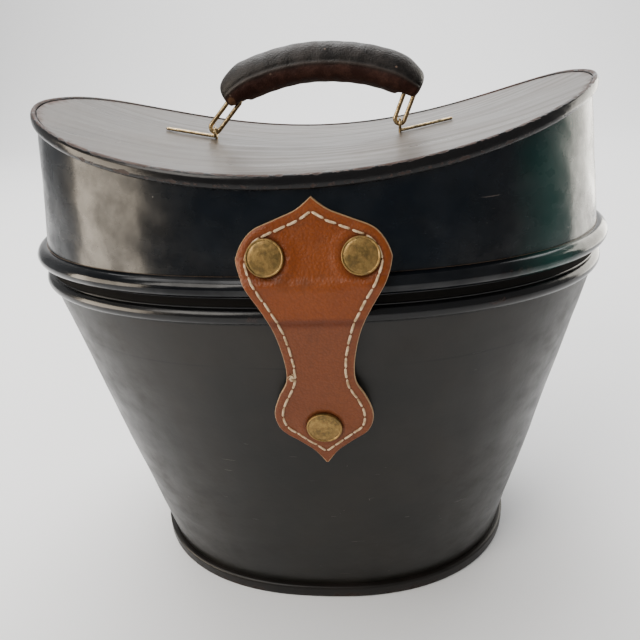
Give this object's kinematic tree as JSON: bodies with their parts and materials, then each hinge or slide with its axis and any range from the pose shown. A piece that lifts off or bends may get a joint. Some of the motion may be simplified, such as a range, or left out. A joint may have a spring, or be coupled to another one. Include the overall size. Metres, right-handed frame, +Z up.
{
  "type": "hat box",
  "caption": "Oval tin top-hat box: tapered bucket on a foot ring, hinged saddle-topped lid, padded arched grip on swinging wire links, and a stitched leather closing tab.",
  "frame": {"origin": "centre of the oval, on the ground plane that the foot ring stands on", "axes": "+X along the oval's length, to the right as seen from the tab; -Y is the front with the leather tab, +Y the back with the hinge; +Z up"},
  "size_m": [0.32, 0.2557, 0.3016],
  "materials": {
    "black_japan": "satin black japan over tinplate, worn brown at the edges",
    "brown_japan": "thin brown-black japan over tinplate, satin",
    "grey_japan": "glossy grey-black japan with fine brush streaks",
    "iron_wire": "dull drawn iron wire",
    "iron_plate": "dull tinned sheet iron",
    "magnet": "nickel-plated magnet",
    "dark_brass": "dull darkened brass",
    "olive_brass": "mottled olive-brown aged brass, satin",
    "worn_brass": "worn brass wire with green verdigris",
    "tan_leather": "pebbled orange-brown leather with pale cut edges and cream stitching",
    "grip_leather": "worn charcoal to red-brown leather, satin",
    "grip_stuffing": "hemp tow stuffing"
  },
  "bodies": {
    "base": {"base_wall": "black_japan", "base_floor": "brown_japan", "foot_ring": "brown_japan", "foot_wire": "iron_wire", "inner_collar": "brown_japan", "base_seam": "black_japan", "hinge_leaf_base": "black_japan", "hinge_pin": "iron_wire", "hinge_rivets_base": "dark_brass", "snap_catch": "iron_plate", "snap_catch_washer": "iron_plate"},
    "lid": {"lid_wall": "black_japan", "lid_top": "grey_japan", "lid_rim_band": "black_japan", "lid_seam": "black_japan", "hinge_leaf_lid": "black_japan", "hinge_rivets_lid": "dark_brass", "tab_leather_upper": "tan_leather", "tab_rivet_left": "olive_brass", "tab_rivet_right": "olive_brass", "tab_rivet_washers": "dark_brass", "handle_staple_left": "worn_brass", "handle_staple_right": "worn_brass", "staple_plate_left": "iron_plate", "staple_plate_right": "iron_plate"},
    "tab": {"tab_leather_flap": "tan_leather", "snap_cap": "olive_brass", "snap_magnet": "magnet"},
    "handle": {"grip_cover": "grip_leather", "grip_core": "grip_stuffing", "grip_spine": "iron_wire", "handle_link_left": "worn_brass", "handle_link_right": "worn_brass"}
  },
  "joints": [
    {"name": "lid_hinge", "type": "hinge", "parent": "base", "child": "lid", "pos_m": [0, 0.1272, 0.1972], "axis": [-1, 0, 0], "range_deg": [0, 110]},
    {"name": "tab_lift", "type": "hinge", "parent": "lid", "child": "tab", "pos_m": [0, -0.12403, 0.1903], "axis": [-1, 0, 0], "range_deg": [0, 110]},
    {"name": "handle_swing", "type": "hinge", "parent": "lid", "child": "handle", "pos_m": [0, 0, 0.2573], "axis": [1, 0, 0], "range_deg": [-70, 70]}
  ],
  "couplings": [
    {"joint": "tab_lift", "follows": "lid_hinge", "ratio": 1}
  ]
}
